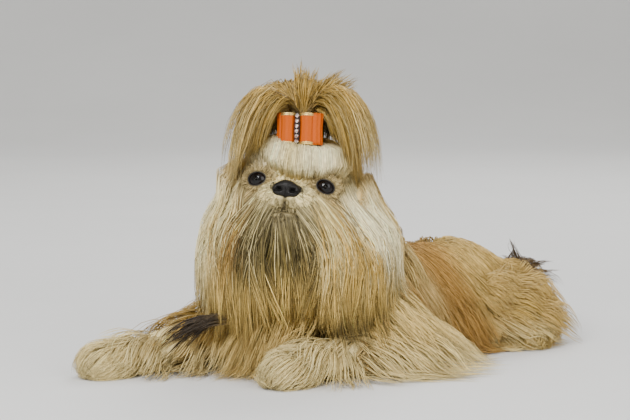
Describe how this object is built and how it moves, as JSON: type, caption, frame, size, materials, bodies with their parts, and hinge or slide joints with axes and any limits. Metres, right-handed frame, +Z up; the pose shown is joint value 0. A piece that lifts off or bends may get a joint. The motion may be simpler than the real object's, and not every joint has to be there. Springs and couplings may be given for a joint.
{
  "type": "shih tzu",
  "caption": "Life-size museum model of a shih tzu in full show coat, lying down with its head up and its forelock tied in a topknot with a ribbon bow.",
  "frame": {"origin": "middle of the model's outline seen from above, at floor level", "axes": "+Z up from the floor; the dog looks to -Y, turned a little towards -X; its trunk runs back towards +X and +Y; its left side is towards +X"},
  "size_m": [0.4658, 0.4204, 0.2754],
  "materials": {
    "coat_gold": "long straight silky hair, golden tan, soft sheen along the locks",
    "coat_cream": "long fine hair, cream to white, soft sheen along the locks",
    "nose_leather": "black, finely pebbled, slightly moist",
    "eye": "very dark brown, wet gloss",
    "ribbon": "orange satin ribbon with woven ribs and a metallic gold edge",
    "gold_trim": "small polished gold beads",
    "band": "dark elastic band, matt"
  },
  "bodies": {
    "root": {"bow_centre": "gold_trim", "bow_loop_left": "ribbon", "bow_loop_right": "ribbon", "topknot_band": "band", "eye_left": "eye", "eye_right": "eye", "nose": "nose_leather", "topknot": "coat_gold", "ear_left": "coat_gold", "ear_right": "coat_gold", "head": "coat_cream", "lower_jaw": "coat_cream", "neck": "coat_gold", "torso": "coat_gold", "forepaw_left": "coat_cream", "foreleg_left": "coat_gold", "forepaw_right": "coat_cream", "foreleg_right": "coat_gold", "hindpaw_left": "coat_cream", "hindleg_left": "coat_gold", "hindpaw_right": "coat_cream", "hindleg_right": "coat_gold", "tail": "coat_gold"}
  },
  "joints": []
}
